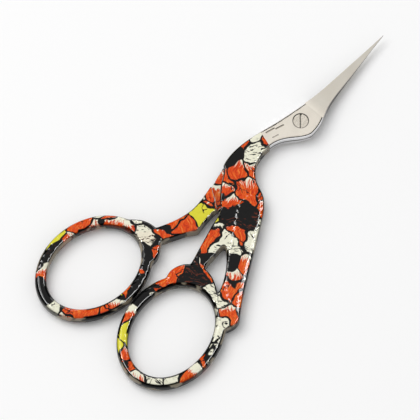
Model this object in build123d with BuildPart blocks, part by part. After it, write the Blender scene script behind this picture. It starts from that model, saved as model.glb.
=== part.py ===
from build123d import *
import os
from math import cos, radians, sin, sqrt

os.makedirs("parts", exist_ok=True)

# Embroidery scissors in the shape of a stork: the blades are the bill, the pivot screw is the eye, and
# each half runs back through neck, body and leg to its finger ring.
# All lengths are in millimetres. X runs along the scissors with the blade tips at +X, Z is the pivot's
# axis through the origin, and the back of the rear half lies on Z = 0. The rear half's ring is at +Y.

# Lengths along the scissors, and the widths that go with them
blade_reach = 33.4            # pivot to blade tips
neck_reach = 22.6             # pivot to where the two halves part behind the neck
ring_reach = 65.6             # pivot to the middle of each finger ring
head_depth = 4.55             # pivot to the chin

# Thicknesses of the two forgings and of the film on their handles
half_thickness = 2.0          # one half at the pivot
shear_gap = 0.05              # running space between the halves where they slide
blade_root = 1.75             # one blade just ahead of the head
blade_waist = 0.95            # one blade a third of the way to the tip
blade_point = 0.3             # one blade at its tip
rim_round = 0.7               # rounded outer edges of head, neck, body and legs
film = 0.15                   # printed and lacquered film on the handles

# Finger rings
ring_hole_length = 26.6
ring_hole_width = 20.0
ring_band = 3.05
ring_thickness = 3.7
ring_tilt = 9.0               # degrees that each ring's long axis leans towards the pivot
ring_gap = 0.3                # left between the two rings when the scissors are shut
ring_edge_round = 1.25

# Feet, wing and tail
foot_depth = 2.9              # how far a foot stands out from its ring
foot_edge_round = 0.95
wing_relief = 0.3             # how far the folded wing stands up from the body
pocket_gap = 0.4              # side clearance where one half is cut away for the other
corner_round = 0.5            # small round in the fork between leg and tail, and on knee and shin

# Pivot screw
screw_head_radius = 2.0
screw_head_height = 0.9
screw_head_clearance = 0.09   # around and under the head
screw_shank_radius = 1.3
screw_shank_clearance = 0.03
screw_thread_radius = 1.05
screw_thread_clearance = 0.02
screw_slot_width = 0.5
screw_slot_depth = 0.45
screw_slot_turn = 41.0        # degrees from X that the slot is left at
screw_head_sink = 0.06        # how far the head stays below the front face

crown_lean = 13.0             # degrees that the crown rises backwards
film_edge_lean = 18.0         # degrees that the film's edge leans across the neck
cut_over = 3.0                # overrun of the tools that cut right through

# Worked out from the sizes above
full_thickness = 2 * half_thickness + shear_gap
shear_top = half_thickness + shear_gap
ring_long = ring_hole_length / 2 + ring_band
ring_wide = ring_hole_width / 2 + ring_band
ring_half_span = sqrt((ring_long * sin(radians(ring_tilt))) ** 2 + (ring_wide * cos(radians(ring_tilt))) ** 2)
ring_spread = ring_half_span + ring_gap / 2
near_end = ring_reach - ring_long
ring_bottom = (full_thickness - ring_thickness) / 2
front, rear = -1, 1


def bill_spot(along, beside):
    """A place on the blades: shares of the blade's reach and of the head's depth."""
    return (along * blade_reach, beside * head_depth)


def neck_spot(along, beside):
    """A place on head or neck: shares of the neck's reach and of the head's depth."""
    return (-along * neck_reach, beside * head_depth)


def body_spot(along, beside):
    """A place between the neck's end (0) and the ring's near end (1), beside in shares of the rings' spread."""
    return (-neck_reach - along * (near_end - neck_reach), beside * ring_spread)


def ring_spot(side, angle, out):
    """A place round a ring: degrees from its end nearest the pivot, and out from its outer rim."""
    across = (ring_long + out) * cos(radians(angle))
    up = (ring_wide + out) * sin(radians(angle))
    lean = radians(ring_tilt)
    beside = ring_spread - across * sin(lean) - up * cos(lean)
    return (-ring_reach + across * cos(lean) - up * sin(lean), side * beside)


# Outlines. The bill and the front of the head end at the crown and the chin, where the neck takes over.
crown_share = (0.06, 0.68)
chin_share = (0.0, -1.0)
crown_bill_shares = [(0.18, 0.505), (0.31, 0.395), (0.55, 0.285), (0.81, 0.15)]
chin_bill_shares = [(0.81, -0.08), (0.61, -0.225), (0.37, -0.395), (0.245, -0.55), (0.15, -0.79), (0.09, -0.93)]
bill_tip_share = (1.0, 0.05)
crown_neck_shares = [(0.18, 0.99), (0.44, 1.36), (0.70, 1.625), (0.86, 1.65), (1.0, 1.52)]
chin_neck_shares = [(0.685, 0.22), (0.53, 0.31), (0.40, 0.22), (0.265, -0.155), (0.155, -0.635), (0.065, -0.93)]

front_flank_shares = [(0.06, 0.406), (0.17, 0.286), (0.235, 0.184), (0.299, 0.075), (0.356, -0.034),
                      (0.424, -0.094), (0.545, -0.143)]
front_breast_shares = [(0.65, -1.30), (0.20, -0.82), (0.05, -0.632), (-0.03, -0.445), (-0.08, -0.225),
                       (-0.155, -0.045)]
front_fork_share = (0.605, -0.59)
front_heel_share = (0.894, -0.605)
tail_inner_share = (0.84, -1.0)

rear_flank_shares = [(0.045, 0.504), (0.197, 0.436), (0.386, 0.376), (0.538, 0.365), (0.689, 0.432),
                     (0.841, 0.56)]
rear_belly_shares = [(0.595, -0.004), (0.424, 0.004), (0.197, -0.068), (-0.03, -0.105), (-0.155, -0.01)]
rear_knee_share = (0.674, -0.023)
rear_shin_share = (0.776, 0.135)

# Places round a ring: degrees, and shares of the foot's depth
front_foot_shares = [(45, -0.2), (39, 0.5), (33, 0.8), (26, 1.0), (14, 1.0), (4, 0.85), (-10, 0.3), (-22, -0.2)]
rear_foot_shares = [(43, -0.2), (34, 0.5), (26, 0.78), (20, 1.0), (6, 1.0), (-7, 0.6), (-14, 0.26), (-24, -0.2)]
tail_tip_shares = [(-66, -0.52), (-60, 0.45), (-56, 0.95), (-50.5, 1.17)]

# The folded wing, from its tip along the breast to the shoulder and back over its top
wing_shares = [(1.075, -1.70), (0.915, -1.50), (0.58, -1.145), (0.24, -0.79), (0.09, -0.60), (0.03, -0.40),
               (0.10, -0.26), (0.22, -0.28), (0.353, -0.42), (0.60, -0.715), (0.95, -1.23)]
film_edge_share = (0.405, 1.32)
rear_step_shares = [(0.064, 0.9), (0.60, -0.6)]
front_step_shares = [(0.0375, 0.04), (-0.0525, -0.6)]
blade_start_share = 0.135
blade_waist_share = 0.36
foot_inner_share = 0.8        # how far into the ring's band each foot's root goes
sharpest_share = 0.3          # keeps the moved corner of a very sharp point within reach


def places(*groups):
    """One list of places out of several tables of shares, each with the function that reads it."""
    return [reader(*share) for reader, shares in groups for share in shares]


def curve_through(points, start=None, end=None):
    """A straight line through two points, or a smooth curve through more, with its end directions."""
    if len(points) == 2:
        return Line(*points, mode=Mode.PRIVATE)
    curve = Spline(*points, mode=Mode.PRIVATE)
    if start is None and end is None:
        return curve
    return Spline(*points, tangents=(start or curve % 0, end or curve % 1), mode=Mode.PRIVATE)


def closed_face(runs, inset=0):
    """A face inside runs of points, each a (points, start direction, end direction) that begins where
    the last one ends, going round to the left. Inset moves every run inwards, or outwards below zero."""
    curves = [curve_through(*run) for run in runs]
    if inset:
        moved = []
        for (points, *_), curve, before, after in zip(runs, curves, curves[-1:] + curves[:-1],
                                                      curves[1:] + curves[:1]):
            shifted = [Vector(point) + curve.tangent_at(Vector(point)).rotate(Axis.Z, 90) * inset
                       for point in points[1:-1]]
            ends = []
            for point, way, other_way in ((points[0], curve % 0, before % 1), (points[-1], curve % 1, after % 0)):
                side, other = way.rotate(Axis.Z, 90), other_way.rotate(Axis.Z, 90)
                reach = max(1 + side.dot(other), sharpest_share)
                ends.append(Vector(point) + (side + other) * (inset / reach))
            moved.append(curve_through([ends[0]] + shifted + [ends[1]], curve % 0, curve % 1))
        curves = moved
    with BuildSketch() as plan:
        with BuildLine():
            for curve in curves:
                add(curve)
        make_face()
    return plan.sketch


def rounded_corners(plan, spots):
    """The same face with the corners nearest to some spots rounded a little."""
    with BuildSketch() as rounded:
        add(plan)
        for spot in spots:
            fillet(rounded.vertices().sort_by_distance(spot)[0], corner_round)
    return rounded.sketch


def direction(degrees):
    """A flat direction, in degrees from X."""
    return Vector(cos(radians(degrees)), sin(radians(degrees)))


crown = bill_spot(*crown_share)
chin = bill_spot(*chin_share)
bill_tip = bill_spot(*bill_tip_share)
crown_way, chin_way = direction(180 - crown_lean), direction(0)


def bill_plan(inset=0):
    """Blade and front of the head seen from above, alike on both halves."""
    under = [chin] + places((bill_spot, chin_bill_shares[::-1])) + [bill_tip]
    over = [bill_tip] + places((bill_spot, crown_bill_shares[::-1])) + [crown]
    return closed_face([(under, chin_way), (over, None, crown_way), ([crown, chin],)], inset)


def front_plan(inset=0):
    """The front half behind crown and chin seen from above: neck, body, wing, tail and leg."""
    over = [crown] + places((neck_spot, crown_neck_shares))
    flank = [over[-1]] + places((body_spot, front_flank_shares))
    inside = -ring_band / 2
    instep, heel_root = ring_spot(front, 27, inside), ring_spot(front, 3, inside)
    heel, fork = body_spot(*front_heel_share), body_spot(*front_fork_share)
    tail_root = ring_spot(front, -24, inside)
    tail_tip = [ring_spot(front, turn, out * foot_depth) for turn, out in tail_tip_shares]
    under = [tail_tip[-1]] + places((body_spot, front_breast_shares), (neck_spot, chin_neck_shares)) + [chin]
    plan = closed_face([
        (over, crown_way), (flank,), ([flank[-1], instep],), ([instep, heel_root],), ([heel_root, heel],),
        ([heel, fork],), ([fork, body_spot(*tail_inner_share), tail_root],), ([tail_root, tail_tip[0]],),
        (tail_tip,), (under, None, chin_way), ([chin, crown],)], inset)
    return rounded_corners(plan, [fork])


def rear_plan(inset=0):
    """The rear half behind crown and chin seen from above: neck, body and leg."""
    over = [crown] + places((neck_spot, crown_neck_shares), (body_spot, rear_flank_shares))
    inside = -ring_band / 2
    instep, heel_root = ring_spot(rear, 2, inside), ring_spot(rear, 22, inside)
    shin, knee = body_spot(*rear_shin_share), body_spot(*rear_knee_share)
    under = [knee] + places((body_spot, rear_belly_shares), (neck_spot, chin_neck_shares)) + [chin]
    plan = closed_face([
        (over, crown_way), ([over[-1], instep],), ([instep, heel_root],), ([heel_root, shin],),
        ([shin, knee],), (under, None, chin_way), ([chin, crown],)], inset)
    return rounded_corners(plan, [knee, shin])


def foot_plan(side, shares, inset=0):
    """The bird's foot seen from above, a crescent that stands out from its ring."""
    outer = [ring_spot(side, turn, out * foot_depth) for turn, out in shares]
    inner = [ring_spot(side, turn, -foot_inner_share * ring_band) for turn, out in shares]
    if side == front:
        outer, inner = outer[::-1], inner[::-1]
    runs = [(outer,), ([outer[-1], inner[-1]],), (inner[::-1],), ([inner[0], outer[0]],)]
    return closed_face(runs, inset)


def wing_plan(inset=0):
    """The folded wing seen from above."""
    spots = places((body_spot, wing_shares))
    return closed_face([(spots + spots[:1],)], inset)


def half_between(plan, low, high):
    """The stretch of a plan between two places along X, cut square."""
    with BuildSketch() as stretch:
        add(plan)
        with Locations(((low + high) / 2, 0)):
            Rectangle(high - low, 2 * (ring_spread + ring_long), mode=Mode.INTERSECT)
    return stretch.sketch


def shows(side, edge):
    """Whether the middle of an edge lies behind the crown and outside its half's ring."""
    middle = edge @ 0.5
    lean = radians(ring_tilt)
    along, beside = middle.X + ring_reach, ring_spread - side * middle.Y
    across, up = along * cos(lean) + beside * sin(lean), beside * cos(lean) - along * sin(lean)
    return (across / ring_long) ** 2 + (up / ring_wide) ** 2 > 1 and middle.X < 0


def rims(part):
    """The edges round the top and bottom faces, without those of the square cuts across X."""
    faces = part.faces().sort_by(Axis.Z)
    edges = faces[-1].edges() + faces[0].edges()
    return edges.filter_by(lambda edge: abs((edge % 0.5).Y) < 0.999 or edge.geom_type != GeomType.LINE)


def handle_form(side, plan, skin):
    """Neck, body and leg of one half, a plate as thick as both halves with round rims."""
    with BuildPart() as form:
        with BuildSketch(Plane.XY.offset(skin)):
            add(plan)
        extrude(amount=full_thickness - 2 * skin)
        fillet([edge for edge in rims(form) if shows(side, edge)], radius=rim_round - skin)
    return form.part


def foot_form(plan, skin):
    """A foot with its outer rims rounded."""
    with BuildPart() as form:
        with BuildSketch(Plane.XY.offset(skin)):
            add(plan)
        extrude(amount=full_thickness - 2 * skin)
        outer_edges = rims(form).sort_by(lambda edge: -edge.length)[:2]
        fillet(outer_edges, radius=foot_edge_round - skin)
    return form.part


def ring_form(side, skin):
    """One finger ring, an oval band with round edges."""
    lean = radians(ring_tilt)
    ring_plane = Plane(origin=(-ring_reach, side * ring_spread, ring_bottom + skin),
                       x_dir=(cos(lean), -side * sin(lean), 0), z_dir=(0, 0, 1))
    with BuildPart() as form:
        with BuildSketch(ring_plane):
            Ellipse(ring_long - skin, ring_wide - skin)
            Ellipse(ring_hole_length / 2 + skin, ring_hole_width / 2 + skin, mode=Mode.SUBTRACT)
        extrude(amount=ring_thickness - 2 * skin)
        fillet(rims(form), radius=ring_edge_round - skin)
    return form.part


def wing_form(plan, skin):
    """The folded wing, a leaf that stands up a little from the body."""
    with BuildPart() as form:
        with BuildSketch(Plane.XY.offset(shear_top)):
            add(plan)
        extrude(amount=half_thickness + wing_relief - skin)
    return form.part


def handle_body(side, skin):
    """Everything on one half that the film covers, every surface moved in by skin."""
    plan, toes = (front_plan, front_foot_shares) if side == front else (rear_plan, rear_foot_shares)
    forms = [handle_form(side, plan(skin), skin), foot_form(foot_plan(side, toes, skin), skin),
             ring_form(side, skin)]
    if side == front:
        forms.append(wing_form(wing_plan(skin), skin))
    with BuildPart() as body:
        for form in forms:
            add(form)
    return body.part


def blade_form(level, way):
    """One blade, thick at the head and thin at the tip, above (1) or below (-1) its sliding face."""
    start = blade_start_share * blade_reach
    waist = blade_waist_share * blade_reach
    past = blade_reach + cut_over
    bill = half_between(bill_plan(), start, past)
    with BuildPart() as form:
        with BuildSketch():
            add(bill)
        extrude(amount=full_thickness)
        with BuildSketch(Plane.XZ):
            with BuildLine():
                Polyline((start, level + way * blade_root), (start, level), (past, level),
                         (past, level + way * blade_point))
                Spline((past, level + way * blade_point), (waist, level + way * blade_waist),
                       (start, level + way * blade_root))
            make_face()
        extrude(amount=cut_over * head_depth, both=True, mode=Mode.INTERSECT)
    return form.part


def head_form(plan):
    """Bare head and start of the neck, as thick as both halves."""
    ahead_of_crown = half_between(bill_plan(), -neck_reach, blade_start_share * blade_reach)
    behind_crown = half_between(plan(), -neck_reach, blade_start_share * blade_reach)
    behind_film_edge = film_zone()
    with BuildPart() as form:
        with BuildSketch():
            add(ahead_of_crown)
            add(behind_crown)
        extrude(amount=full_thickness)
        fillet(rims(form), radius=rim_round)
        add(behind_film_edge, mode=Mode.SUBTRACT)
    return form.part


def film_zone():
    """The space that the film can cover, from its edge on the neck to behind the rings."""
    lean = radians(film_edge_lean)
    film_edge = Plane(origin=(*neck_spot(*film_edge_share), -cut_over), x_dir=(cos(lean), -sin(lean), 0),
                      z_dir=(0, 0, 1))
    with BuildPart() as zone:
        with BuildSketch(film_edge):
            Rectangle(2 * ring_reach, 4 * ring_reach, align=(Align.MAX, Align.CENTER))
        extrude(amount=full_thickness + wing_relief + 2 * cut_over)
    return zone.part


def pocket(plan, low, high):
    """The space that one half leaves for the other, with clearance at its sides."""
    ahead_of_crown, behind_crown = bill_plan(-pocket_gap), plan(-pocket_gap)
    with BuildPart() as space:
        with BuildSketch(Plane.XY.offset(low)):
            add(ahead_of_crown)
            add(behind_crown)
        extrude(amount=high - low)
    return space.part


def ahead_of(shares, low, high):
    """The space ahead of a slanted step, as far as beyond the blade tips."""
    top, bottom = places((body_spot, shares))
    ahead = blade_reach + cut_over
    with BuildPart() as space:
        with BuildSketch(Plane.XY.offset(low)):
            with BuildLine():
                Polyline(top, bottom, (ahead, bottom[1]), (ahead, top[1]), close=True)
            make_face()
        extrude(amount=high - low)
    return space.part


# Under the front half everything that the rear half fills is cut away, and the other way round. Each
# half is only as thick as both behind a step that runs across its body.
under_front = pocket(rear_plan, -cut_over, shear_top)
under_step = ahead_of(front_step_shares, -cut_over, shear_top)
over_rear = pocket(front_plan, half_thickness, full_thickness + cut_over)
over_step = ahead_of(rear_step_shares, half_thickness, full_thickness + cut_over)

# The front half: its steel, with the seat for the screw's head, and the film round its handle
covered = film_zone()
front_core, front_skin = handle_body(front, film), handle_body(front, 0)
front_head, front_blade = head_form(front_plan), blade_form(shear_top, 1)
with BuildPart() as front_half:
    add(front_core)
    add(front_head)
    add(under_step, mode=Mode.SUBTRACT)
    add(under_front, mode=Mode.SUBTRACT)
    add(front_blade)
    with Locations((0, 0, full_thickness)):
        CounterBoreHole(radius=screw_shank_radius + screw_shank_clearance,
                        counter_bore_radius=screw_head_radius + screw_head_clearance,
                        counter_bore_depth=screw_head_sink + screw_head_height + screw_head_clearance,
                        depth=full_thickness + cut_over)

with BuildPart() as front_film:
    add(front_skin)
    add(front_core, mode=Mode.SUBTRACT)
    add(under_step, mode=Mode.SUBTRACT)
    add(under_front, mode=Mode.SUBTRACT)
    add(covered, mode=Mode.INTERSECT)

# The rear half: its steel, with the hole for the screw's thread, and the film round its handle
rear_core, rear_skin = handle_body(rear, film), handle_body(rear, 0)
rear_head, rear_blade = head_form(rear_plan), blade_form(half_thickness, -1)
with BuildPart() as rear_half:
    add(rear_core)
    add(rear_head)
    add(over_step, mode=Mode.SUBTRACT)
    add(over_rear, mode=Mode.SUBTRACT)
    add(rear_blade)
    with Locations((0, 0, half_thickness)):
        Hole(radius=screw_thread_radius + screw_thread_clearance, depth=half_thickness + cut_over)

with BuildPart() as rear_film:
    add(rear_skin)
    add(rear_core, mode=Mode.SUBTRACT)
    add(over_step, mode=Mode.SUBTRACT)
    add(over_rear, mode=Mode.SUBTRACT)
    add(covered, mode=Mode.INTERSECT)

# The pivot screw: slotted head, a shank that the front half turns on, and a thinner thread that is
# driven into the rear half until the shank's shoulder seats on it
with BuildPart() as pivot_screw:
    head_top = full_thickness - screw_head_sink
    with BuildSketch(Plane.XY.offset(head_top - screw_head_height)):
        Circle(screw_head_radius)
    extrude(amount=screw_head_height)
    with BuildSketch(Plane.XY.offset(half_thickness)):
        Circle(screw_shank_radius)
    extrude(amount=head_top - screw_head_height - half_thickness)
    with BuildSketch():
        Circle(screw_thread_radius)
    extrude(amount=half_thickness)
    with BuildSketch(Plane.XY.offset(head_top - screw_slot_depth).rotated((0, 0, screw_slot_turn))):
        Rectangle(2 * screw_head_radius + cut_over, screw_slot_width)
    extrude(amount=screw_slot_depth + cut_over, mode=Mode.SUBTRACT)

pieces = {
    "front_half": front_half,
    "rear_half": rear_half,
    "front_handle_film": front_film,
    "rear_handle_film": rear_film,
    "pivot_screw": pivot_screw,
}
for name, piece in pieces.items():
    piece.part.label = name
    export_step(piece.part, f"parts/{name}.step")
    print(name, "solids", len(piece.part.solids()), "volume", round(piece.part.volume, 1))
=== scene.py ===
# %% [markdown]
# Stork embroidery scissors. The imported model already holds every piece at its real place and size, so
# this notebook only dresses it: it loads the pieces, rebuilds the embossed handles as finer meshes,
# gives each surface a finish made from shader nodes, and sets up a small photo studio round it all.
# We start with the frame and note how large the bare model is.

# %% Load the frame
from math import cos, radians, sin, tau

import bmesh
import bpy
import numpy as np
from mathutils import Matrix, Vector
from mathutils.bvhtree import BVHTree


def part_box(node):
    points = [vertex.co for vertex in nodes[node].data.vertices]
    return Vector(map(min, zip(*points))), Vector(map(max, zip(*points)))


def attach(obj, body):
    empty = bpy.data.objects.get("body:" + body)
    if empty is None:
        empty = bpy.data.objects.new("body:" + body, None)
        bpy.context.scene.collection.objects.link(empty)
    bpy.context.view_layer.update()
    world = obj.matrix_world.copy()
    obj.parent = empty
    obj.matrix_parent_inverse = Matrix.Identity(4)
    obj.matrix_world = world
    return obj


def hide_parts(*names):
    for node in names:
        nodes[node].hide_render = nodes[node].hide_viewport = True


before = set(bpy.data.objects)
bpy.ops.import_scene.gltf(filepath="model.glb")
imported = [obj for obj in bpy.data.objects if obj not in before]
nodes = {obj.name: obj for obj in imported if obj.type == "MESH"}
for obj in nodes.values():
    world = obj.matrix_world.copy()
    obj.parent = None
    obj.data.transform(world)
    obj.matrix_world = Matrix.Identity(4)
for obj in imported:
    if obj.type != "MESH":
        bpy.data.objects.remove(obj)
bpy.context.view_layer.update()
print("nodes:", ", ".join(sorted(nodes)))

# %% [markdown]
# Blender measures in metres, but scissors are easier to think about in millimetres. One factor turns
# a length in millimetres into metres, and another goes the other way. The sizes that the dressing
# follows are read from the pieces: how thick the steel is, how wide the screw head is, and how high
# the stork's cheek stands.

# %% Units and the sizes that the dressing follows
mm = 0.001
per_mm = 1 / mm

front_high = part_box("front_half")[1] * per_mm
screw_low, screw_high = [corner * per_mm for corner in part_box("pivot_screw")]
thickness = front_high.z
screw_radius = (screw_high.x - screw_low.x) / 2
cheek_start, cheek_end = -8.0, -3.0
front_spots = [vertex.co * per_mm for vertex in nodes["front_half"].data.vertices]
cheek_top = max(spot.z for spot in front_spots if cheek_start < spot.x < cheek_end)
print(f"blades reach {front_high.x:.1f} mm, screw head {2 * screw_radius:.1f} mm")
print(f"steel {thickness:.2f} mm thick, the stork's cheek {cheek_top:.2f} mm up")

# %% [markdown]
# A shader is a graph of nodes, and sums written node by node are hard to read. This small class wraps
# the output of a node so that Python's own signs add the Math nodes: `1 - mask` or `height * 0.2` then
# reads as it does on paper. Every other kind of node comes from its one method `node`, which sets the
# node's own settings first and then gives its sockets their values or links.

# %% A socket that can stand in a sum
class Wire:
    def __init__(self, tree, socket=None):
        self.tree, self.socket = tree, socket

    def node(self, kind, settings=None, inputs=None, out=0):
        """Adds a node beside this one and returns one of its outputs."""
        made = self.tree.nodes.new(kind)
        for name, value in (settings or {}).items():
            setattr(made, name, value)
        for name, value in (inputs or {}).items():
            if isinstance(value, Wire):
                self.tree.links.new(value.socket, made.inputs[name])
            else:
                made.inputs[name].default_value = value
        return Wire(self.tree, made.outputs[out] if made.outputs else None)

    def math(self, operation, first, second=0.0):
        return self.node("ShaderNodeMath", {"operation": operation}, {0: first, 1: second})

    def __add__(self, other):
        return self.math("ADD", self, other)

    def __sub__(self, other):
        return self.math("SUBTRACT", self, other)

    def __rsub__(self, other):
        return self.math("SUBTRACT", other, self)

    def __mul__(self, other):
        return self.math("MULTIPLY", self, other)

    __radd__, __rmul__ = __add__, __mul__

    def __abs__(self):
        return self.math("ABSOLUTE", self)

    def sine(self):
        return self.math("SINE", self)

    def either(self, other):
        """The larger of two masks: 1 where one of them is 1."""
        return self.math("MAXIMUM", self, other)

    def step(self, low, high):
        """Rises smoothly from 0 at low to 1 at high, or falls where low is the larger."""
        inputs = {"Value": self, "From Min": low, "From Max": high}
        return self.node("ShaderNodeMapRange", {"interpolation_type": "SMOOTHSTEP"}, inputs)


print("a Wire understands + - * and abs, and has steps for masks")

# %% [markdown]
# Paint colours are easiest to pick as the eye sees them, from 0 to 255, but a shader adds up light.
# Screens follow a standard curve between the two, steep in the darks, and `seen` goes back along it.

# %% Colours as the eye sees them
brightest = 255
dark_limit, dark_slope = 0.04045, 12.92
curve_lift, curve_power = 0.055, 2.4


def seen(red, green, blue):
    def light(level):
        share = level / brightest
        if share <= dark_limit:
            return share / dark_slope
        return ((share + curve_lift) / (1 + curve_lift)) ** curve_power
    return (light(red), light(green), light(blue), 1.0)


ink = seen(8, 8, 8)
print("ink as light:", [round(level, 4) for level in ink])

# %% [markdown]
# Colours and places have three numbers, and a Math node would make one number of them. They go
# through Mix and Vector Math nodes instead, which these short helpers add. All masks here follow the
# place on the piece itself, in millimetres from the screw's axis, so that the finish moves with the
# piece when the scissors open.

# %% Helpers for colours, places and noise
flat_plane = (1, 1, 0)
noise_middle = 0.5


def mix(mask, below, above):
    """The colour below where the mask is 0, and above where it is 1."""
    factor, first, second, result = 0, 6, 7, 2
    inputs = {factor: mask, first: below, second: above}
    return mask.node("ShaderNodeMix", {"data_type": "RGBA"}, inputs, out=result)


def vector(operation, first, second=(0, 0, 0), out=0):
    inputs = {0: first, 1: second}
    return first.node("ShaderNodeVectorMath", {"operation": operation}, inputs, out=out)


def part_of(place, axis):
    return place.node("ShaderNodeSeparateXYZ", {}, {0: place}, out=axis)


def from_axis(place):
    """How far a place lies from the screw's axis."""
    return vector("LENGTH", vector("MULTIPLY", place, flat_plane), out="Value")


def towards(place, turn):
    """How far a place lies in one flat direction, given by its turn from X."""
    return vector("DOT_PRODUCT", place, (cos(turn), sin(turn), 0), out="Value")


def noise(place, scale, detail=2.0, roughness=0.5, out="Fac"):
    inputs = {"Vector": place, "Scale": scale, "Detail": detail, "Roughness": roughness}
    return place.node("ShaderNodeTexNoise", {}, inputs, out=out)


print("one mask and two colours make a Mix node")

# %% [markdown]
# Every finish starts from an empty material with one shader, and from the place on the piece. What
# varies over the surface is linked to the shader's sockets, and what is the same all over is set on
# them as a plain value. Fine dents come from a Bump node, which tilts the surface without moving it.

# %% Helpers for a finish
def new_finish(name):
    """An empty material, its shader, and the place on the piece in millimetres."""
    material = bpy.data.materials.new(name)
    material.use_nodes = True
    spot = Wire(material.node_tree).node("ShaderNodeTexCoord", out="Object")
    place = vector("MULTIPLY", spot, (per_mm,) * 3)
    return material, material.node_tree.nodes["Principled BSDF"], place


def uprightness(place):
    """1 where the surface looks straight up or down, and 0 on a side wall."""
    return abs(part_of(place.node("ShaderNodeTexCoord", out="Normal"), "Z"))


def feed(shader, values):
    """Links wires and sets plain values on the sockets of the shader."""
    for name, value in values.items():
        if isinstance(value, Wire):
            value.tree.links.new(value.socket, shader.inputs[name])
        else:
            shader.inputs[name].default_value = value


def dented(height, strength, depth):
    """A normal for a surface dented by so many millimetres."""
    inputs = {"Strength": strength, "Distance": depth * mm, "Height": height}
    return height.node("ShaderNodeBump", {}, inputs)


print("helpers ready, with places in millimetres")

# %% [markdown]
# The blades and the stork's head are bare stainless steel. Their flats were ground on a belt, so they
# are satin with fine lines, while the rims and side walls were buffed bright. The object's own normal
# tells them apart: on a flat it points straight up or down. The photographed steel is warm at the head
# and cooler on the blade. The side walls get a painted reflection in their colour, a bright one at the
# head and a dark one on the blade's bevel. The limits below say where a mask starts and where it is
# full.

# %% The tones of the steel
warm_steel = seen(225, 218, 206)
cool_steel = seen(196, 191, 181)
dull_steel = seen(176, 168, 154)
# painted reflections for the steel's side walls: bright on the head, dark on the blade's bevel
painted_bright_reflection = seen(240, 240, 242)
painted_dark_reflection = seen(60, 56, 50)
flat_limits, steep_limits = (0.93, 0.995), (0.80, 0.45)
cool_limits, reflection_change_limits = (3.0, 7.5), (5.0, 9.0)
cloud_scale, cloud_limits, cloud_share = 0.16, (0.35, 0.75), 0.25
line_stretch, line_scale = (1.2, 14.0, 3.0), 1.6
line_limits, line_share = (0.45, 0.75), 0.18
painted_reflection_share = 0.9


def steel_tone(place, flat, steep, lines):
    """The steel's colour with painted reflections on its walls, before the painted shade."""
    forward = part_of(place, "X")
    cloud = noise(place, cloud_scale, detail=3.0)
    tone = mix(forward.step(*cool_limits), warm_steel, cool_steel)
    tone = mix(cloud.step(*cloud_limits) * cloud_share, tone, dull_steel)
    tone = mix(lines.step(*line_limits) * line_share * flat, tone, dull_steel)
    # the side walls get a painted reflection: bright on the head, dark towards the blade
    return mix(steep * painted_reflection_share, tone, mix(forward.step(*reflection_change_limits), painted_bright_reflection, painted_dark_reflection))


print("steel goes from warm to cool between", *cool_limits, "mm ahead of the screw")

# %% [markdown]
# Painted shade darkens the steel in the seam half way up the side walls, where the two halves slide
# on each other, and a little in the dashes on the cheek. The thin ring round the screw head gets painted
# shadow with some dirt, darker towards one end of the screw's slot, which was left at 41 degrees when
# the screw was set. Each place is a mask from a distance, and the dark colour is mixed in there.

# %% Painted shade on the steel
# a dark colour for painted shade and shadow, with some dirt in the screw's ring
shade_and_grime = seen(20, 18, 16)
seam_reach = 0.32
slot_turn = radians(41.0)
slot_end_limits = (-2.0, 1.6)
seat_limits = (screw_radius + 0.22, screw_radius + 0.12)
seat_least, seat_gain = 0.5, 0.45
dash_top_limits, dash_floor_limits = (0.02, 0.06), (0.24, 0.20)
dash_front_limits = (-3.2, -3.5)
dash_shade = 0.15


def with_painted_shade(tone, place, steep):
    """The tone with painted shade in the seam and the dashes, and painted shadow with some dirt round
    the screw head.
    """
    seam = abs(part_of(place, "Z") - thickness / 2).step(seam_reach, seam_reach / 2)
    # painted shade in the seam between the halves
    tone = mix(seam * steep, tone, shade_and_grime)

    slot_end = towards(place, slot_turn).step(*slot_end_limits)
    # painted shadow with some dirt in the ring round the screw head, darker towards one end
    seat = from_axis(place).step(*seat_limits) * (slot_end * seat_gain + seat_least)
    below_cheek = cheek_top - part_of(place, "Z")
    in_dash = below_cheek.step(*dash_top_limits) * below_cheek.step(*dash_floor_limits)
    in_dash = in_dash * part_of(place, "X").step(*dash_front_limits)
    # the ring's painted shadow and the painted shade in the dashes
    return mix(seat.either(in_dash * (1 - steep) * dash_shade), tone, shade_and_grime)


print(f"seam at {thickness / 2:.2f} mm, with dirt up to {seam_reach} mm above and below it")

# %% [markdown]
# The fine grinding lines change the roughness a little and are also pressed into the surface with a
# bump, because they are far too fine for geometry. Noise stretched along the blade gives them.

# %% The steel finish
satin_roughness, buffed_roughness = 0.32, 0.09
line_roughness = 0.14


def steel_finish():
    material, shader, place = new_finish("satin_steel")
    upright = uprightness(place)
    flat, steep = upright.step(*flat_limits), upright.step(*steep_limits)
    lines = noise(vector("MULTIPLY", place, line_stretch), line_scale, detail=4.0, roughness=0.65)
    tone = with_painted_shade(steel_tone(place, flat, steep, lines), place, steep)
    rough = flat * (satin_roughness - buffed_roughness) + buffed_roughness
    rough = rough + (lines - noise_middle) * line_roughness * flat
    normal = dented(lines * flat, strength=0.06, depth=0.02)
    feed(shader, {"Base Color": tone, "Roughness": rough, "Metallic": 1.0, "Normal": normal})
    return material


steel = steel_finish()
print("made", steel.name)

# %% [markdown]
# The screw head was turned on a lathe, which leaves rings round its axis, and its slot was cut with a
# saw and never polished. Rings come from the distance to the axis: a sine of it swings up and down.
# Painted shadow with some dirt darkens the rim of the head, more so towards one end of the slot, and
# painted shade darkens one side of the slot's floor.

# %% The screw finish
ring_turn_per_mm = 60.0
rim_limits = (screw_radius - 0.14, screw_radius - 0.03)
rim_least, rim_gain = 0.5, 0.5
slot_floor_limits = (screw_high.z - 0.05, screw_high.z - 0.2)
slot_side_limits = (-0.10, 0.06)
scuff_stretch, scuff_scale, scuff_limits = (2.0, 7.0, 2.0), 1.3, (0.4, 0.7)
scuff_roughness, screw_roughness = 0.2, 0.16
# share of the painted shade on the screw
screw_shade_and_grime = 0.95


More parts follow.
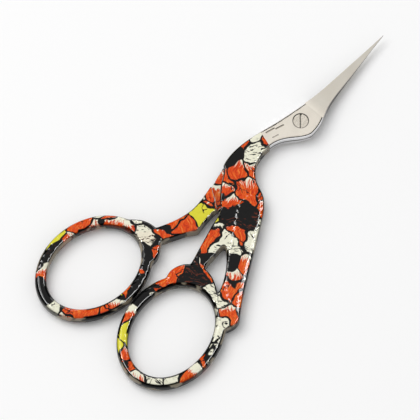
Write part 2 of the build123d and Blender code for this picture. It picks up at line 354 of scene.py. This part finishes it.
def screw_finish():
    material, shader, place = new_finish("turned_screw")
    radius = from_axis(place)
    slot_end = towards(place, slot_turn).step(*slot_end_limits)
    slot_side = towards(place, slot_turn + tau / 4).step(*slot_side_limits)
    # painted shadow with some dirt on the head's rim, darker towards one end of the slot
    rim = radius.step(*rim_limits) * (slot_end * rim_gain + rim_least)
    # painted shade on one side of the slot's floor
    slot_floor_shade = part_of(place, "Z").step(*slot_floor_limits) * slot_side
    scuff = noise(vector("MULTIPLY", place, scuff_stretch), scuff_scale, detail=3.0)
    tone = mix(scuff.step(*scuff_limits), warm_steel, dull_steel)
    tone = mix(rim.either(slot_floor_shade) * screw_shade_and_grime, tone, shade_and_grime)
    rough = scuff * scuff_roughness + screw_roughness
    normal = dented((radius * ring_turn_per_mm).sine(), strength=0.10, depth=0.02)
    feed(shader, {"Base Color": tone, "Roughness": rough, "Metallic": 1.0, "Normal": normal})
    return material


screw_steel = screw_finish()
print(f"made {screw_steel.name}, with rings {tau / ring_turn_per_mm:.2f} mm apart")

# %% [markdown]
# The handles carry a printed film under clear lacquer. The print here is a plain patchwork: cells in
# orange, cream, black and a little yellow, parted by black brush lines. It could be painted on an
# image, but that has to be wrapped round the handle and blurs close up. A Voronoi texture makes such
# cells anywhere in space. The places that it reads are first pushed about by noise, once in wide
# bends and once in small frays, so that no line between two cells is straight.

# %% The cells of the patchwork
print_seed = 4.0
patch_size = 6.0
patch_looseness, twig_looseness = 0.9, 1.0
bend_scale, bend_reach = 0.14, 7.0
fray_scale, fray_reach, fray_seed = 1.1, 0.55, print_seed + 7
stroke_turn = radians(-33.0)


def shaken(place, scale, reach, seed):
    """The places pushed about by noise, by up to about half the reach in millimetres."""
    swing = noise(vector("ADD", place, (seed,) * 3), scale, out="Color")
    push = vector("MULTIPLY", vector("SUBTRACT", swing, (noise_middle,) * 3), (reach,) * 3)
    return vector("ADD", place, push)


def along_strokes(place):
    """The same places, turned so that X runs along the brush strokes."""
    inputs = {"Vector": place, "Angle": stroke_turn}
    return place.node("ShaderNodeVectorRotate", {"rotation_type": "Z_AXIS"}, inputs)


def cells(place, size, looseness, out):
    """One reading of cells of about this size: their colour, middle, or distance to the edge."""
    feature = "DISTANCE_TO_EDGE" if out == "Distance" else "F1"
    inputs = {"Vector": place, "Scale": 1 / size, "Randomness": looseness}
    return place.node("ShaderNodeTexVoronoi", {"feature": feature}, inputs, out=out)


print("patches about", patch_size, "mm wide")

# %% [markdown]
# The orange was laid on in strokes, so thin streaks lighten and darken it. It runs out into cream
# towards one end of its cell, in a ragged edge: the way from the middle of the cell, the streaks and
# a random number of the cell are added up, and the cream begins where the sum is large.

# %% The orange paint
orange = seen(222, 74, 16)
deep_orange = seen(184, 44, 8)
light_orange = seen(236, 128, 48)
cream = seen(238, 236, 214)
streak_stretch, streak_scale = (0.35, 2.6, 1.2), 1.2
light_limits, deep_limits, deep_share = (0.50, 0.66), (0.48, 0.34), 0.8
fade_limits, fade_lean, fade_whim = (0.92, 1.04), 0.16, 0.3


def orange_paint(brushed, lengthwise, whim):
    """Orange in streaks of three tones, with cream at one end of the cell."""
    streaks = noise(vector("MULTIPLY", brushed, streak_stretch), streak_scale, detail=3.0, roughness=0.6)
    paint = mix(streaks.step(*light_limits), orange, light_orange)
    paint = mix(streaks.step(*deep_limits) * deep_share, paint, deep_orange)
    ends = (lengthwise * fade_lean + streaks + whim * fade_whim).step(*fade_limits)
    return mix(ends, paint, cream)


print("orange as light:", [round(level, 3) for level in orange])

# %% [markdown]
# Cream and black cells have fine hatching across the strokes, from one noise that is stretched the
# other way: soft grey shades and thin ink strokes on the cream, and brown strokes on the black. A
# random number of each cell says whether its strokes show at all.

# %% The hatched paints
shade = seen(176, 180, 158)
brown = seen(92, 40, 24)
hatch_stretch, hatch_scale = (2.4, 0.5, 1.0), 1.0
shade_limits, shade_share = (0.52, 0.70), 0.5
stroke_limits, stroke_whims = (0.58, 0.60), (0.35, 0.4)
brown_limits, brown_whims = (0.56, 0.62), (0.5, 0.6)


def hatched_paints(brushed, whim):
    """The cream with grey shades and ink strokes, and the black with brown strokes."""
    hatch = noise(vector("MULTIPLY", brushed, hatch_stretch), hatch_scale, detail=2.0)
    pale = mix(hatch.step(*shade_limits) * shade_share, cream, shade)
    pale = mix(hatch.step(*stroke_limits) * whim.step(*stroke_whims), pale, ink)
    return pale, mix(hatch.step(*brown_limits) * whim.step(*brown_whims), ink, brown)


print("cream as light:", [round(level, 3) for level in cream])

# %% [markdown]
# Each cell has one paint, and its own random colour picks which. Red in that colour is a number from
# 0 to 1 that is the same all over the cell: up to a half it means orange, and then cream, black and
# yellow follow. Green serves as the second random number, for the strokes.

# %% A paint for each cell
yellow = seen(222, 214, 58)
cream_from, black_from, yellow_from, sharp = 0.500, 0.710, 0.890, 0.001


def painted_cells(frayed):
    cell = cells(frayed, patch_size, patch_looseness, "Color")
    middle = cells(frayed, patch_size, patch_looseness, "Position")
    pick = cell.node("ShaderNodeSeparateColor", {}, {0: cell}, out="Red")
    whim = cell.node("ShaderNodeSeparateColor", {}, {0: cell}, out="Green")
    lengthwise = part_of(along_strokes(vector("SUBTRACT", frayed, middle)), "X")
    brushed = along_strokes(frayed)
    colour = orange_paint(brushed, lengthwise, whim)
    pale, dark = hatched_paints(brushed, whim)
    for start, paint in ((cream_from, pale), (black_from, dark), (yellow_from, yellow)):
        colour = mix(pick.step(start, start + sharp), colour, paint)
    return colour


print(f"{cream_from:.0%} of the cells are orange, {1 - yellow_from:.0%} yellow")

# %% [markdown]
# The black brush lines lie where the edge of a cell is near, and swell and thin out as a brush does.
# Cells of half the size give thinner twigs, which show in some places only. Along the round rims,
# painted shade makes the film black in long stretches, and the side walls get painted shade as a
# duller mottle of black and tan. The object's own normal tells where rims and walls are.

# %% Brush lines, and painted shade on rims and side walls
tan = seen(168, 157, 136)
outline_limits, outline_swell, swell_middle, swell_scale = (0.30, 0.16), 0.28, 0.3, 0.45
twig_limits, twig_places, twig_place_scale = (0.24, 0.12), (0.58, 0.62), 0.30
rim_black_limits, rim_black_places, rim_black_scale = (0.94, 0.84), (0.46, 0.50), 0.10
mottle_limits, mottle_scale = (0.51, 0.59), 0.22
wall_limits, wall_shade_share = (0.80, 0.50), 0.85


def with_brush_lines(colour, place, frayed):
    gap = cells(frayed, patch_size, patch_looseness, "Distance") * patch_size
    swell = (noise(place, swell_scale, detail=1.0) - swell_middle) * outline_swell
    outline = (gap - swell).step(*outline_limits)
    twig = cells(frayed, patch_size / 2, twig_looseness, "Distance") * patch_size
    thin = twig.step(*twig_limits) * noise(place, twig_place_scale, detail=1.0).step(*twig_places)
    return mix(outline.either(thin), colour, ink)


def with_shaded_sides(colour, place):
    upright = uprightness(place)
    # painted shade: black in long stretches along the round rims
    in_places = noise(place, rim_black_scale, detail=2.0).step(*rim_black_places)
    colour = mix(upright.step(*rim_black_limits) * in_places, colour, ink)
    # painted shade on the side walls, a mottle of black and tan
    side = mix(noise(place, mottle_scale, detail=2.0).step(*mottle_limits), ink, tan)
    return mix(upright.step(*wall_limits) * wall_shade_share, colour, side)


print("tan as light:", [round(level, 3) for level in tan])

# %% [markdown]
# Clear lacquer covers the print. The shader has a coat for that, a second mirror over the paint. It is
# smooth and weakly refracting here, because stronger lacquer would turn the blacks grey under so
# white a studio, and the paint below it mirrors nothing of its own.

# %% The printed film
def print_finish():
    material, shader, place = new_finish("printed_film")
    bent = shaken(place, bend_scale, bend_reach, print_seed)
    frayed = shaken(bent, fray_scale, fray_reach, fray_seed)
    colour = with_brush_lines(painted_cells(frayed), place, frayed)
    colour = with_shaded_sides(colour, place)
    feed(shader, {"Base Color": colour, "Roughness": 0.4, "Specular IOR Level": 0.0})
    feed(shader, {"Coat Weight": 1.0, "Coat Roughness": 0.03, "Coat IOR": 1.28})
    return material


film_print = print_finish()
print("made", film_print.name, "with", len(film_print.node_tree.nodes), "nodes")

# %% [markdown]
# On the real scissors the wing, body and tail are embossed with feathers before the film goes on. A
# bump would only fake that, and the outline of a groove has to catch the light from any side, so the
# relief is pressed into real geometry. That starts from copies of the CAD meshes in millimetres,
# since the CAD pieces themselves stay as they are. Whatever a modifier does to such a copy is read
# back as a plain mesh, so that no modifier is left on a finished piece.

# %% Copies of the CAD meshes
def plain_copy(name, node_names):
    """One mesh in millimetres with the faces of some CAD nodes."""
    made = bmesh.new()
    for node_name in node_names:
        made.from_mesh(nodes[node_name].data)
    bmesh.ops.scale(made, vec=(per_mm,) * 3, verts=made.verts)
    mesh = bpy.data.meshes.new(name)
    made.to_mesh(mesh)
    made.free()
    return mesh


def evaluated(obj):
    """The mesh of an object with its modifiers applied."""
    depsgraph = bpy.context.evaluated_depsgraph_get()
    return bpy.data.meshes.new_from_object(obj.evaluated_get(depsgraph))


print("copies are in millimetres")

# %% [markdown]
# Fine relief needs small even faces, while a CAD mesh has long thin ones. A voxel remesh of film and
# steel together wraps a new even skin round both. Ahead of the film the skin isn't needed, and a
# plane cuts it off and closes the end.

# %% Remesh and cut
voxel = 0.20


def remeshed(mesh, size):
    work = bpy.data.objects.new("remesh_work", mesh)
    bpy.context.scene.collection.objects.link(work)
    remesh = work.modifiers.new("remesh", "REMESH")
    remesh.mode = "VOXEL"
    remesh.voxel_size = size
    made = evaluated(work)
    bpy.data.objects.remove(work)
    return made


def cut_behind(mesh, spot, way):
    """Keeps what lies behind a plane and closes the cut."""
    made = bmesh.new()
    made.from_mesh(mesh)
    geometry = made.verts[:] + made.edges[:] + made.faces[:]
    cut = bmesh.ops.bisect_plane(made, geom=geometry, plane_co=spot, plane_no=way, clear_outer=True)
    rim = [item for item in cut["geom_cut"] if isinstance(item, bmesh.types.BMEdge)]
    bmesh.ops.holes_fill(made, edges=rim)
    made.to_mesh(mesh)
    made.free()


print("faces about", voxel, "mm wide")

# %% [markdown]
# A remesh blurs what it rebuilds. So each point that lies on the film is put back exactly on it, and
# each point that lies on bare steel is sunk a little, so that the steel itself shows there. The step
# that one half slides on under the other is printed too, from the wing back, as the film was pressed
# on before the halves were screwed together. The film ends at a slanted plane across the neck.

# %% Points back on the film
bare_limit, bare_margin = 0.07, 0.3
sink = 0.06
cut_ahead = 0.8
film_edge_spot = Vector((-9.15, 6.19, 0))
film_edge_turn = radians(18.0)
film_edge_way = Vector((cos(film_edge_turn), -sin(film_edge_turn), 0))
printed_step_start, step_level = -22.0, 0.9
film_rise = 0.015


def tree_of(mesh):
    """A search tree that finds the nearest spot on a mesh."""
    points = [vertex.co.copy() for vertex in mesh.vertices]
    return BVHTree.FromPolygons(points, [tuple(face.vertices) for face in mesh.polygons])


def settle_on_film(mesh, film_tree, steel_tree):
    """Puts each point back on the film, or sinks it where the steel is bare. Returns which are film."""
    on_film = np.zeros(len(mesh.vertices), bool)
    for index, vertex in enumerate(mesh.vertices):
        ahead = (vertex.co - film_edge_spot).dot(film_edge_way)
        from_steel = steel_tree.find_nearest(vertex.co)[3]
        bare = ahead > 0 or (from_steel < bare_limit and ahead < -bare_margin)
        on_film[index] = not bare
        if not bare:
            vertex.co = film_tree.find_nearest(vertex.co)[0]
        elif vertex.co.x < printed_step_start and abs(vertex.normal.z) > step_level:
            spot, way, _, _ = steel_tree.find_nearest(vertex.co)
            vertex.co = spot + way * film_rise
        else:
            vertex.co -= vertex.normal * sink
    return on_film


print("a point within", bare_limit, "mm of the steel is bare")

# %% [markdown]
# Lacquer runs off sharp edges, so on the real handles every rim is round. Here each film point moves
# towards the middle of its neighbours several times over, which wears edges down and leaves flats as
# they are. Points next to bare steel stay where they are, so the film still meets the steel.

# %% Rounded rims
rounding_turns, rounding_share = 9, 0.6
still_turns = 3


def neighbour_mean(ends, count, values):
    """The mean of some values over the neighbours of each point."""
    total = np.zeros((count, values.shape[1]))
    for near, far in ((0, 1), (1, 0)):
        for axis in range(values.shape[1]):
            total[:, axis] += np.bincount(ends[:, near], values[ends[:, far], axis], count)
    return total / np.bincount(ends.ravel(), minlength=count)[:, None]


def places_of(mesh):
    places = np.empty(len(mesh.vertices) * 3)
    mesh.vertices.foreach_get("co", places)
    return places.reshape(-1, 3)


def worn_round(mesh, on_film):
    """Rounds the film's rims and returns how far each point moved."""
    count = len(mesh.vertices)
    ends = np.empty(len(mesh.edges) * 2, int)
    mesh.edges.foreach_get("vertices", ends)
    ends = ends.reshape(-1, 2)
    places = places_of(mesh)
    free = on_film[:, None].astype(float)
    for _ in range(still_turns):
        free = np.minimum(free, neighbour_mean(ends, count, free))
    start = places.copy()
    for _ in range(rounding_turns):
        places += (neighbour_mean(ends, count, places) - places) * rounding_share * free
    mesh.vertices.foreach_set("co", places.ravel())
    mesh.update()
    return np.linalg.norm(places - start, axis=1)


print("rims wear down over", rounding_turns, "turns")

# %% [markdown]
# The feathers are a height for every place on the handle. Along the wing they are rows of scalloped
# grooves that cross it, with faint quills between the rows. Each is a repeating wave, faded in and
# out where its part of the bird begins and ends, and these helpers give the notch and the fade.

# %% Feathers on the wing
shoulder = np.array((-24.0, -5.0))
tail_tip = np.array((-51.0, -22.5))
row_pitch, row_width = 1.75, 0.30
scallop_pitch, scallop_reach, scallop_softness = 3.4, 0.32, 0.04
quill_pitch, quill_width, quill_share, quill_shift = 1.7, 0.28, 0.35, 0.5
wing_start, wing_end, wing_side = (-1.0, 0.5), (31.5, 29.5), (3.9, 3.2)


def fade(value, low, high):
    """Rises smoothly from 0 at low to 1 at high, or falls where low is the larger."""
    share = np.clip((value - low) / (high - low), 0, 1)
    return share * share * (3 - 2 * share)


def groove(phase, width):
    """1 in the middle of a narrow notch at each whole number of phase, and 0 between."""
    away = np.abs(phase - np.round(phase))
    return 1 - fade(away, 0, width)


def places_on_wing(x, y):
    """How far a place lies along the wing from the shoulder, and how far to its side."""
    axis = (tail_tip - shoulder) / np.linalg.norm(tail_tip - shoulder)
    east, north = x - shoulder[0], y - shoulder[1]
    return east * axis[0] + north * axis[1], north * axis[0] - east * axis[1]


def wing_feathers(along, across):
    scallop = scallop_reach * np.sqrt(np.sin(across * tau / scallop_pitch) ** 2 + scallop_softness)
    phase = along / row_pitch + scallop
    quills = groove(across / quill_pitch + quill_shift * np.floor(phase), quill_width)
    return np.maximum(groove(phase, row_width), quills * quill_share)


print("wing", round(float(np.linalg.norm(tail_tip - shoulder)), 1), "mm from shoulder to tail")

# %% [markdown]
# On the neck short strokes run with it, round a middle below the stork's breast, and the legs have
# shallow pock marks, which are two crossing waves cut off near their tops. The deepest of the three
# patterns counts at each place.

# %% Strokes on the neck and pits on the legs
neck_middle = (-17.0, -9.0)
stroke_pitch, stroke_width = 1.35, 0.24
strokes_round, stroke_cut = 22, (-0.2, 0.4)
neck_start, neck_low = (-23.5, -20.5), (-3.5, -1.5)
pit_waves, pit_sways, pit_sway_waves = (3.1, 3.4), (0.7, 0.8), (1.9, 2.3)
pit_cut, pit_share = (0.55, 0.95), 0.7
leg_start, leg_end, beside_wing = (-28.5, -31.0), (-49.0, -47.0), (3.5, 2.5)
groove_depth = 0.11


def neck_strokes(x, y):
    east, north = x - neck_middle[0], y - neck_middle[1]
    strokes = groove(np.hypot(east, north) / stroke_pitch, stroke_width)
    breaks = np.sin(np.arctan2(north, east) * strokes_round + x)
    return strokes * fade(breaks, *stroke_cut) * (fade(x, *neck_start) * fade(y, *neck_low))


def leg_pits(x, y):
    across_x = np.sin(x * pit_waves[0] + pit_sways[0] * np.sin(y * pit_sway_waves[1]))
    across_y = np.sin(y * pit_waves[1] + pit_sways[1] * np.sin(x * pit_sway_waves[0]))
    return pit_share * fade(across_x * across_y, *pit_cut)


def feather_depth(x, y):
    """How deep the embossing is at a place on the handle, in millimetres."""
    along, across = places_on_wing(x, y)
    on_wing = fade(along, *wing_start) * fade(along, *wing_end)
    wing = wing_feathers(along, across) * on_wing * fade(across, *wing_side)
    on_leg = fade(x, *leg_start) * fade(x, *leg_end) * (1 - on_wing * fade(across, *beside_wing))
    return groove_depth * np.maximum.reduce([wing, neck_strokes(x, y), leg_pits(x, y) * on_leg])


print("feathers up to", groove_depth, "mm deep")

# %% [markdown]
# The relief is pressed into the top and bottom faces only, as a die does. Each point there moves
# inwards against the direction that its surface looks in, and points on the rims and walls stay.

# %% Pressing the feathers in
pressed_limits = (0.80, 0.98)


def pressed_in(mesh, on_film):
    """Moves points of the top and bottom faces inwards by the depth of the feathers."""
    places, normals = places_of(mesh), np.empty(len(mesh.vertices) * 3)
    mesh.vertex_normals.foreach_get("vector", normals)
    normals = normals.reshape(-1, 3)
    depth = feather_depth(places[:, 0], places[:, 1])
    depth *= on_film * fade(np.abs(normals[:, 2]), *pressed_limits)
    places -= normals * depth[:, None]
    mesh.vertices.foreach_set("co", places.ravel())
    return depth


print("feathers fade out where the face leans to", pressed_limits[0])

# %% [markdown]
# Now both handles are made. The finished mesh takes the place of the CAD film and rides on the same
# body. Smooth shading suits it, because its faces are small and its rims are really round.

# %% The two handles
def finished(name, mesh, material):
    """An object in metres from a mesh in millimetres, with one material."""
    mesh.transform(Matrix.Scale(mm, 4))
    mesh.materials.clear()
    mesh.materials.append(material)
    piece = bpy.data.objects.new(name, mesh)
    bpy.context.scene.collection.objects.link(piece)
    return piece


def smooth(mesh):
    for face in mesh.polygons:
        face.use_smooth = True


def handle(name, film_node, steel_node, body):
    film, steel_mesh = plain_copy("film", [film_node]), plain_copy("core", [steel_node])
    mesh = remeshed(plain_copy(name, [film_node, steel_node]), voxel)
    cut_behind(mesh, film_edge_spot + film_edge_way * cut_ahead, film_edge_way)
    on_film = settle_on_film(mesh, tree_of(film), tree_of(steel_mesh))
    worn = worn_round(mesh, on_film)
    depth = pressed_in(mesh, on_film)
    smooth(mesh)
    piece = finished(name, mesh, film_print)
    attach(piece, body)
    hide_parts(film_node)
    print(f"{name}: {len(mesh.vertices)} points, {on_film.mean():.0%} on film")
    print(f"  rims worn by up to {worn.max():.2f} mm, grooves {depth.max():.2f} mm deep")
    return piece


front_handle = handle("front_handle_print", "front_handle_film", "front_half", "front")
rear_handle = handle("rear_handle_print", "rear_handle_film", "rear_half", "rear")

# %% [markdown]
# The stork's cheek carries three short dashes, struck into the steel with a punch. They are real dents
# and need real geometry. Here is the tool that will cut them, a slim wedge. Its outline is two half
# circles joined by straight sides, and it narrows with depth, as the edge of a punch leaves it, so
# that one slope of the dash catches the light and the other is dark.

# %% The shape of a punched dash
dash_depth, dash_overrun = 0.16, 0.16
dash_floor_share = 0.15
half_sides = 8
dashes = [  # start, end and half width of each, in millimetres
    ((-8.4, 4.5), (-6.2, 3.8), 0.21),
    ((-5.9, 3.3), (-3.9, 2.6), 0.21),
    ((-8.3, 2.3), (-6.9, 1.8), 0.17),
]


def slot_prism(made, start, stop, half_width):
    """Adds a closed slot-shaped wedge that reaches from inside the steel to above its face."""
    start, stop = Vector(start), Vector(stop)
    lie = (stop - start).angle_signed(Vector((1, 0)))
    rings = []
    for width, level in ((half_width * dash_floor_share, cheek_top - dash_depth),
                         (half_width * (2 - dash_floor_share), cheek_top + dash_overrun)):
        ring = []
        for end, first in ((stop, lie - tau / 4), (start, lie + tau / 4)):
            for step in range(half_sides + 1):
                turn = first + tau / 2 * step / half_sides
                spot = end + Vector((cos(turn), sin(turn))) * width
                ring.append(made.verts.new((spot.x, spot.y, level)))
        rings.append(ring)
    floor_ring, top_ring = rings
    made.faces.new(floor_ring[::-1])
    made.faces.new(top_ring)
    for index, low in enumerate(floor_ring):
        after = (index + 1) % len(floor_ring)
        made.faces.new((low, floor_ring[after], top_ring[after], top_ring[index]))


print(len(dashes), "dashes,", dash_depth, "mm deep")

# %% [markdown]
# A Boolean modifier takes the three wedges out of a copy of the front half. It is applied at once, and
# both the wedges and the working object go away again, so that only the cut mesh is left.

# %% Cutting the dashes
def with_dashes(mesh):
    """The mesh with the dashes cut out of its top face."""
    made = bmesh.new()
    for start, stop, half_width in dashes:
        slot_prism(made, start, stop, half_width)
    bmesh.ops.recalc_face_normals(made, faces=made.faces)
    cutter_mesh = bpy.data.meshes.new("dash_cutter")
    made.to_mesh(cutter_mesh)
    made.free()
    cutter = bpy.data.objects.new("dash_cutter", cutter_mesh)
    work = bpy.data.objects.new("dash_work", mesh)
    for item in (cutter, work):
        bpy.context.scene.collection.objects.link(item)
    cut = work.modifiers.new("dashes", "BOOLEAN")
    cut.operation, cut.solver, cut.object = "DIFFERENCE", "EXACT", cutter
    result = evaluated(work)
    bpy.data.objects.remove(work)
    bpy.data.objects.remove(cutter)
    return result


print("the wedges reach", dash_overrun, "mm above the cheek")

# %% [markdown]
# Plain smooth shading would bend the light at the rims of the wide flats. The CAD mesh knows the true
# direction of the surface at each corner, so the copy takes it from there, and only the new walls of
# the dashes use the direction of their own faces. A Boolean also needs a closed mesh, so the faces of
# the CAD mesh are joined at their shared edges first.

# %% The front half in steel
weld_reach = 0.0005
spot_digits = 3
same_way = 0.9


def welded(node_name):
    """The CAD mesh in millimetres with its faces joined at their shared edges."""
    mesh = plain_copy(node_name + "_steel", [node_name])
    made = bmesh.new()
    made.from_mesh(mesh)
    bmesh.ops.remove_doubles(made, verts=made.verts, dist=weld_reach)
    open_edges = sum(not edge.is_manifold for edge in made.edges)
    made.to_mesh(mesh)
    made.free()
    print(node_name, "welded,", open_edges, "open edges")
    return mesh


def spot_key(spot):
    return tuple(round(value, spot_digits) for value in spot)


def shaded_like(mesh, source):
    """Gives each corner the shading direction of the CAD corner there, or its own face's direction."""
    directions = np.empty(len(source.loops) * 3)
    source.corner_normals.foreach_get("vector", directions)
    directions = directions.reshape(-1, 3)
    known = {}
    for face in source.polygons:
        for corner in face.loop_indices:
            spot = source.vertices[source.loops[corner].vertex_index].co * per_mm
            known.setdefault(spot_key(spot), []).append((face.normal, corner))
    shading = []
    for face in mesh.polygons:
        for corner in face.loop_indices:
            matches = known.get(spot_key(mesh.vertices[mesh.loops[corner].vertex_index].co), [])
            fit, best = max([(way.dot(face.normal), found) for way, found in matches], default=(0, 0))
            shading.append(tuple(directions[best] if fit > same_way else face.normal))
    mesh.normals_split_custom_set(shading)


front_mesh = with_dashes(welded("front_half"))
smooth(front_mesh)
shaded_like(front_mesh, nodes["front_half"].data)
front_steel = finished("front_steel", front_mesh, steel)
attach(front_steel, "front")
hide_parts("front_half")
print("front_steel:", len(front_mesh.polygons), "faces")

# %% [markdown]
# The rear half and the screw keep their CAD meshes, whose shapes are right. They only change finish,
# which is one assignment to each material slot.

# %% Finishes for the carried-over nodes
def finish_node(node_name, material):
    mesh = nodes[node_name].data
    if not mesh.materials:
        mesh.materials.append(material)
    for index in range(len(mesh.materials)):
        mesh.materials[index] = material


for node_name, material in (("rear_half", steel), ("pivot_screw", screw_steel)):
    finish_node(node_name, material)
    print(node_name, "wears", material.name)

# %% [markdown]
# The studio is a wide white floor under a white world. Mirrors and the camera see both of them white,
# while the light that they cast on the object is weaker, so that its sides still darken and its form
# shows. Light Path tells the two kinds of ray apart. The world and the soft box of the next step add
# up to about 1 on the floor, so a colour renders as it is written. The floor lies a hair below the
# scissors, so that the two never share a plane.

# %% Floor and world
floor_reach = 3.0
floor_drop = 0.02
cast_by_world, cast_by_floor = 0.54, 0.40
white = (1, 1, 1, 1)


def seen_directly(start):
    """1 for rays that the camera, a mirror or glass sends, and 0 for the spread of light."""
    kinds = [start.node("ShaderNodeLightPath", out=kind) for kind in
             ("Is Camera Ray", "Is Glossy Ray", "Is Transmission Ray")]
    return kinds[0].either(kinds[1]).either(kinds[2])


def add_mesh(name, points, faces, material):
    mesh = bpy.data.meshes.new(name)
    mesh.from_pydata(points, [], faces)
    mesh.materials.append(material)
    piece = bpy.data.objects.new(name, mesh)
    bpy.context.scene.collection.objects.link(piece)
    return piece


floor_paint, floor_shader, floor_place = new_finish("floor_paint")
floor_tone = mix(seen_directly(floor_place), (cast_by_floor,) * 3 + (1,), white)
feed(floor_shader, {"Base Color": floor_tone, "Roughness": 0.9, "Specular IOR Level": 0.1})
signs = ((-1, -1), (1, -1), (1, 1), (-1, 1))
corners = [(x * floor_reach, y * floor_reach, -floor_drop * mm) for x, y in signs]
add_mesh("floor", corners, [(0, 1, 2, 3)], floor_paint)

world = bpy.data.worlds.new("studio")
bpy.context.scene.world = world
world.use_nodes = True
world.node_tree.nodes.clear()
sky = Wire(world.node_tree)
cast = sky.node("ShaderNodeBackground", {}, {"Color": white, "Strength": cast_by_world})
shown = sky.node("ShaderNodeBackground", {}, {"Color": white, "Strength": 1.0})
sky.node("ShaderNodeOutputWorld", {}, {
    "Surface": sky.node("ShaderNodeMixShader", {}, {0: seen_directly(sky), 1: cast, 2: shown})})
print("floor", 2 * floor_reach, "m wide, world ready")

# %% [markdown]
# One large soft box lights the scene, and no reflection shows it. Four strip lights do the opposite:
# they cast no light on paint and show only as reflections, which draw bright lines on the lacquer.
# Three of them would also wash out the satin steel, so light linking lets them reach the two printed
# handles alone, which sit in a collection of their own for that.

# %% Lamps
look_at = Vector((-33.7, 1.7, 2.0)) * mm
lacquered = bpy.data.collections.new("lacquered")
for piece in (front_handle, rear_handle):
    lacquered.objects.link(piece)


def lamp(name, turn, rise, distance, width, height, radiance, mirrored, only_on=None):
    """A lamp at a bearing and rise in degrees: mirrored ones show only as reflections."""
    data = bpy.data.lights.new(name, "AREA")
    data.shape = "RECTANGLE"
    data.size, data.size_y = width, height
    data.energy = radiance * width * height * tau / 2
    piece = bpy.data.objects.new(name, data)
    turn, rise = radians(turn), radians(rise)
    way = Vector((cos(turn) * cos(rise), sin(turn) * cos(rise), sin(rise)))
    piece.location = look_at + way * distance
    piece.rotation_mode = "QUATERNION"
    piece.rotation_quaternion = way.to_track_quat("Z", "Y")
    bpy.context.scene.collection.objects.link(piece)
    piece.visible_glossy, piece.visible_diffuse = mirrored, not mirrored
    piece.light_linking.receiver_collection = only_on
    cast_level = radiance * width * height * sin(rise) / (tau / 2 * distance ** 2)
    print(name, "is seen in reflections" if mirrored else f"adds {cast_level:.2f} to the floor")


lamp("soft_box", turn=95, rise=60, distance=1.60, width=1.20, height=1.20, radiance=3.2, mirrored=False)
strip = {"distance": 0.50, "mirrored": True}
on_lacquer = {**strip, "only_on": lacquered}
lamp("strip_far", turn=30, rise=24, width=0.32, height=0.12, radiance=14.0, **strip)
lamp("strip_left", turn=131, rise=46, width=0.60, height=0.10, radiance=40.0, **on_lacquer)
lamp("strip_right", turn=-49, rise=46, width=0.60, height=0.10, radiance=40.0, **on_lacquer)
lamp("strip_high", turn=100, rise=62, width=0.16, height=0.05, radiance=12.0, **on_lacquer)

# %% [markdown]
# Polished steel needs something dark to mirror as well, or it looks like paper. A photographer hangs
# black cards round the object for that, and so does this: one black ring that only reflections see,
# from just above the floor to half a metre up. It casts no shadow and the camera looks through it.

# %% The black cards
card_sides = 48
card_reach, card_low, card_high = 0.55, 0.01, 0.50

card_paint, card_shader = new_finish("card_paint")[:2]
feed(card_shader, {"Base Color": ink, "Roughness": 1.0, "Specular IOR Level": 0.0})
turns = [tau * side / card_sides for side in range(card_sides)]
points = [(card_reach * cos(turn), card_reach * sin(turn), z)
          for z in (card_low, card_high) for turn in turns]
faces = []
for side in range(card_sides):
    after = (side + 1) % card_sides
    faces.append((side, after, card_sides + after, card_sides + side))
cards = add_mesh("black_cards", points, faces, card_paint)
cards.visible_camera = cards.visible_diffuse = cards.visible_shadow = cards.visible_transmission = False
print("black cards up to", card_high, "m")

# %% [markdown]
# The photograph was taken from high up, three quarters of the way from the table to overhead, with a
# long lens that hardly narrows with distance. Its scale and direction were measured from the round
# screw head and the two equal rings. The Standard view transform shows each colour as it was computed.

# %% Camera
picture_side = 420
pixels_per_mm = 3.88
camera_turn, camera_rise = radians(48.7), radians(67.5)
camera_distance = 1.2
sensor = 36.0

camera_data = bpy.data.cameras.new("camera")
camera_data.sensor_width = sensor
camera_data.lens = sensor * camera_distance / (picture_side / pixels_per_mm * mm)
camera_data.dof.use_dof = False
camera = bpy.data.objects.new("camera", camera_data)
flat_share = cos(camera_rise)
back = Vector((-sin(camera_turn) * flat_share, -cos(camera_turn) * flat_share, sin(camera_rise)))
camera.location = look_at + back * camera_distance
camera.rotation_mode = "QUATERNION"
camera.rotation_quaternion = back.to_track_quat("Z", "Y")
bpy.context.scene.collection.objects.link(camera)
bpy.context.scene.camera = camera
bpy.context.scene.view_settings.view_transform = "Standard"
print(f"lens {camera_data.lens:.0f} mm at {camera_distance} m")
